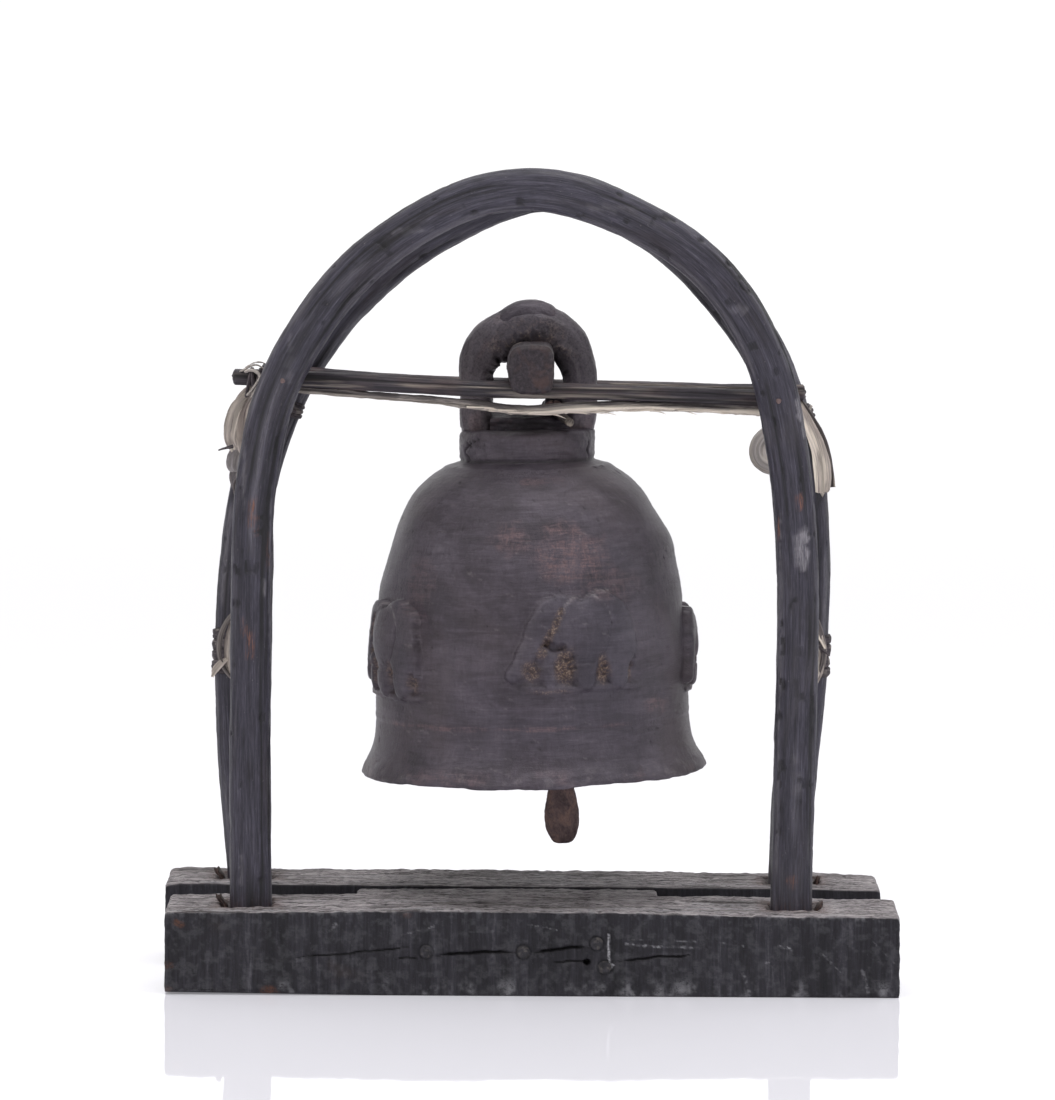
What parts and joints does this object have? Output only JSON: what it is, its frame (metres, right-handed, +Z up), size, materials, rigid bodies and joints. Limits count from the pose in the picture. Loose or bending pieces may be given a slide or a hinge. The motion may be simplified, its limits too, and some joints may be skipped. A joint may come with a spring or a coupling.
{
  "type": "hanging bell with stand",
  "caption": "Cast bronze bell with an iron clapper, hung by its loop from a notched bar between two bentwood hoops that stand in a pair of pegged foot beams.",
  "frame": {"origin": "on the ground under the middle of the bounding box", "axes": "X to the right along the foot beams, Y from the front beam to the rear beam, Z up"},
  "size_m": [0.3724, 0.177, 0.4154],
  "materials": {
    "bronze": "dark brown patinated cast bronze with fine turned lines and worn copper-red patches",
    "hoop_wood": "smoke-blackened bent cane or sapling, satin, worn through to orange wood in places",
    "beam_wood": "weathered grey hewn timber with dark open grain and cracks",
    "bar_wood": "dark brown handled wood",
    "peg_wood": "brown split wood",
    "cane": "grey-brown split cane with a pale fibrous edge",
    "bark": "dry grey-tan bark and cane strip, ragged at the ends",
    "iron": "forged iron with a dark rust skin"
  },
  "bodies": {
    "stand": {"front_beam": "beam_wood", "rear_beam": "beam_wood", "spacer_block": "beam_wood", "front_treenails": "peg_wood", "rear_treenails": "peg_wood", "front_arch": "hoop_wood", "rear_arch": "hoop_wood", "leg_wedges": "peg_wood", "front_rod": "cane", "rear_rod": "cane", "toggle_bar": "bar_wood", "cane_strip": "cane", "rod_nails": "iron", "left_collar": "bark", "right_collar": "bark", "left_leg_tie": "bark", "right_leg_tie": "bark", "rod_end_wrap": "bark", "left_bark_strip": "bark", "right_bark_tail": "bark", "right_bark_loop": "bark"},
    "bell": {"bell_casting": "bronze", "clapper_twig": "peg_wood", "clapper_hanger": "iron"},
    "clapper_link": {"clapper_link": "iron"},
    "clapper": {"clapper_tongue": "iron"}
  },
  "joints": [
    {"name": "bell_swing", "type": "hinge", "parent": "stand", "child": "bell", "pos_m": [0.0013, 0, 0.3102], "axis": [0, 1, 0], "range_deg": [-11, 11]},
    {"name": "link_swing", "type": "hinge", "parent": "bell", "child": "clapper_link", "pos_m": [0.013, 0, 0.2615], "axis": [0, 1, 0], "range_deg": [-18, 22]},
    {"name": "clapper_swing", "type": "hinge", "parent": "clapper_link", "child": "clapper", "pos_m": [0.013, 0, 0.2479], "axis": [1, 0, 0], "range_deg": [-10, 10]}
  ]
}
